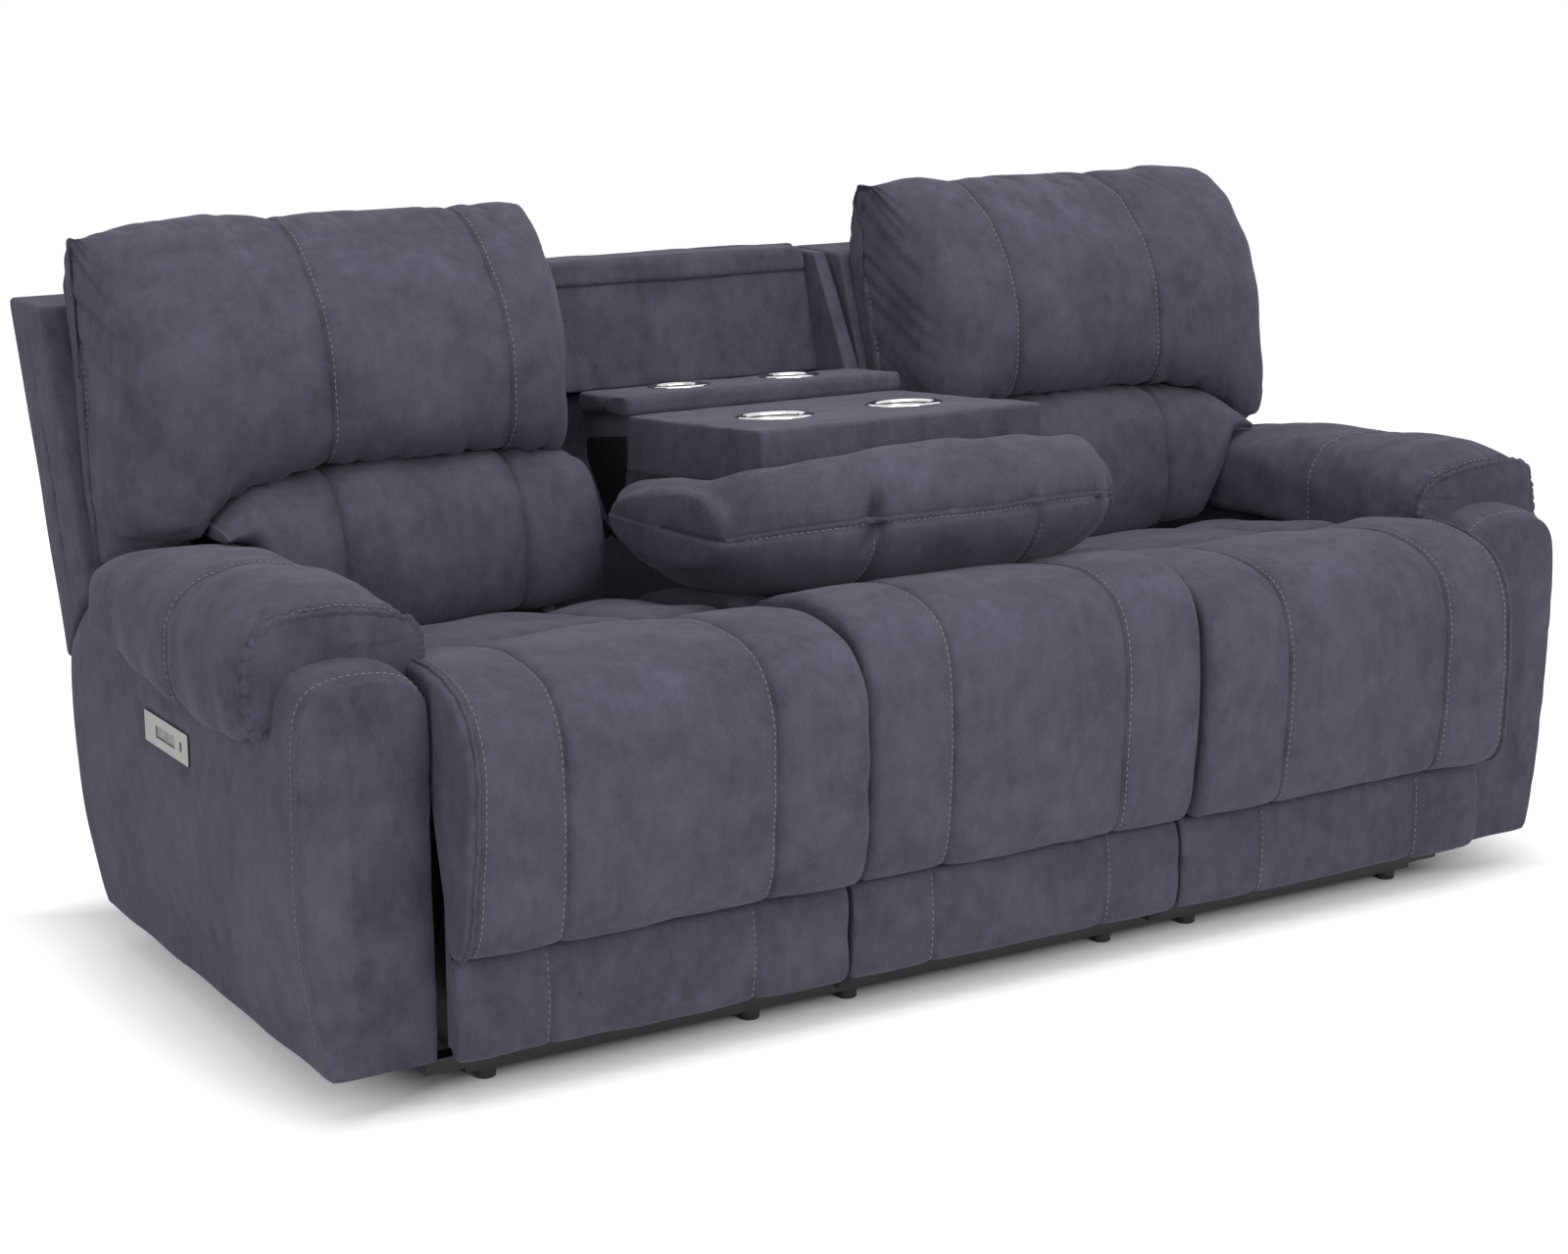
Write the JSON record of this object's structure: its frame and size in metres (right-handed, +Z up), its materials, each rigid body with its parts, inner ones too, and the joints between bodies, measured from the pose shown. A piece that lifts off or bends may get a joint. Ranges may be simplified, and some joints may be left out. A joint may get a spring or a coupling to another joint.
{
  "type": "power reclining sofa with fold down console",
  "caption": "Power reclining sofa with pillow arms, chaise footrests and a fold down middle console with cup holders.",
  "frame": {"origin": "middle of the footprint on the floor", "axes": "+X to the right as seen from the front, front towards -Y, +Z up"},
  "size_m": [2.2066, 1.16, 1.067],
  "materials": {
    "upholstery": "slate grey-blue suede-like microfibre over foam",
    "upholstered_wood": "wooden boards covered in the same microfibre",
    "hardwood": "sawn hardwood",
    "black_steel": "black powder coat",
    "spring_steel": "bare spring wire",
    "satin_nickel": "satin nickel",
    "chrome": "polished",
    "cup_steel": "brushed dark cup liner",
    "key_plastic": "satin grey keys",
    "glide_plastic": "black moulded plastic",
    "motor_plastic": "black drive housings"
  },
  "bodies": {
    "root": {"arm_frame_left": "hardwood", "arm_frame_right": "hardwood", "arm_front_panel_left": "upholstery", "arm_front_panel_right": "upholstery", "arm_pad_left": "upholstery", "arm_pad_right": "upholstery", "arm_side_panels_left": "upholstery", "arm_side_panels_right": "upholstery", "base_frame": "black_steel", "centre_back_frame": "upholstered_wood", "console_brackets": "black_steel", "drive_units": "motor_plastic", "front_pad_centre": "upholstery", "glides": "glide_plastic", "lower_panel_centre": "upholstery", "mechanism_plates_left": "black_steel", "mechanism_plates_right": "black_steel", "outer_back_panels": "upholstery", "recess_board": "upholstery", "seat_cushion_centre": "upholstery", "seat_cushion_left": "upholstery", "seat_cushion_right": "upholstery", "seat_frames": "hardwood", "seat_springs": "spring_steel", "switch_housings": "glide_plastic", "switch_plate_left": "satin_nickel", "switch_plate_right": "satin_nickel"},
    "footrest_carriage_left": {"footrest_carriage_left": "black_steel", "chaise_roll_left": "upholstery"},
    "footrest_left": {"footrest_board_left": "upholstered_wood", "footrest_pad_left": "upholstery", "lower_panel_left": "upholstery"},
    "back_left": {"back_shell_left": "upholstery", "back_frame_left": "hardwood", "back_pillow_left": "upholstery", "lumbar_pad_left": "upholstery", "recline_tube_left": "black_steel"},
    "recline_rod_left": {"recline_rod_left": "black_steel"},
    "rocker_front_left": {"rocker_key_front_left": "key_plastic"},
    "rocker_rear_left": {"rocker_key_rear_left": "key_plastic"},
    "footrest_carriage_right": {"footrest_carriage_right": "black_steel", "chaise_roll_right": "upholstery"},
    "footrest_right": {"footrest_board_right": "upholstered_wood", "footrest_pad_right": "upholstery", "lower_panel_right": "upholstery"},
    "back_right": {"back_shell_right": "upholstery", "back_frame_right": "hardwood", "back_pillow_right": "upholstery", "lumbar_pad_right": "upholstery", "recline_tube_right": "black_steel"},
    "recline_rod_right": {"recline_rod_right": "black_steel"},
    "rocker_front_right": {"rocker_key_front_right": "key_plastic"},
    "rocker_rear_right": {"rocker_key_rear_right": "key_plastic"},
    "console": {"console_table": "upholstery", "console_tray": "upholstery", "console_pad": "upholstery", "cup_inserts": "cup_steel", "cup_rings": "chrome", "console_hinge_plates": "black_steel"}
  },
  "joints": [
    {"name": "footrest_slide_left", "type": "slide", "parent": "root", "child": "footrest_carriage_left", "axis": [0, -1, 0], "range_m": [0, 0.2]},
    {"name": "footrest_tilt_left", "type": "hinge", "parent": "footrest_carriage_left", "child": "footrest_left", "pos_m": [0, -0.485, 0.462], "axis": [-1, 0, 0], "range_deg": [0, 85], "deforming": ["chaise_roll_left"]},
    {"name": "back_recline_left", "type": "hinge", "parent": "root", "child": "back_left", "pos_m": [0, 0.175, 0.36], "axis": [-1, 0, 0], "range_deg": [0, 30]},
    {"name": "recline_rod_slide_left", "type": "slide", "parent": "root", "child": "recline_rod_left", "axis": [0, -1, 0], "range_m": [0, 0.0365]},
    {"name": "rocker_front_left", "type": "hinge", "parent": "root", "child": "rocker_front_left", "pos_m": [-1.059, -0.032, 0.406], "axis": [0, 0, 1], "range_deg": [-4, 4], "stiffness_Nm_per_rad": 0.3},
    {"name": "rocker_rear_left", "type": "hinge", "parent": "root", "child": "rocker_rear_left", "pos_m": [-1.059, 0.004, 0.406], "axis": [0, 0, 1], "range_deg": [-4, 4], "stiffness_Nm_per_rad": 0.3},
    {"name": "footrest_slide_right", "type": "slide", "parent": "root", "child": "footrest_carriage_right", "axis": [0, -1, 0], "range_m": [0, 0.2]},
    {"name": "footrest_tilt_right", "type": "hinge", "parent": "footrest_carriage_right", "child": "footrest_right", "pos_m": [0, -0.485, 0.462], "axis": [-1, 0, 0], "range_deg": [0, 85], "deforming": ["chaise_roll_right"]},
    {"name": "back_recline_right", "type": "hinge", "parent": "root", "child": "back_right", "pos_m": [0, 0.175, 0.36], "axis": [-1, 0, 0], "range_deg": [0, 30]},
    {"name": "recline_rod_slide_right", "type": "slide", "parent": "root", "child": "recline_rod_right", "axis": [0, -1, 0], "range_m": [0, 0.0365]},
    {"name": "rocker_front_right", "type": "hinge", "parent": "root", "child": "rocker_front_right", "pos_m": [1.059, -0.032, 0.406], "axis": [0, 0, 1], "range_deg": [-4, 4], "stiffness_Nm_per_rad": 0.3},
    {"name": "rocker_rear_right", "type": "hinge", "parent": "root", "child": "rocker_rear_right", "pos_m": [1.059, 0.004, 0.406], "axis": [0, 0, 1], "range_deg": [-4, 4], "stiffness_Nm_per_rad": 0.3},
    {"name": "console_swing", "type": "hinge", "parent": "root", "child": "console", "pos_m": [0, 0.208, 0.57], "axis": [-1, 0, 0], "range_deg": [0, 100]}
  ],
  "couplings": [
    {"joint": "footrest_tilt_left", "follows": "footrest_slide_left", "rad_per_m": 7.4176},
    {"joint": "recline_rod_slide_left", "follows": "back_recline_left", "m_per_rad": 0.0692},
    {"joint": "footrest_tilt_right", "follows": "footrest_slide_right", "rad_per_m": 7.4176},
    {"joint": "recline_rod_slide_right", "follows": "back_recline_right", "m_per_rad": 0.0692}
  ]
}
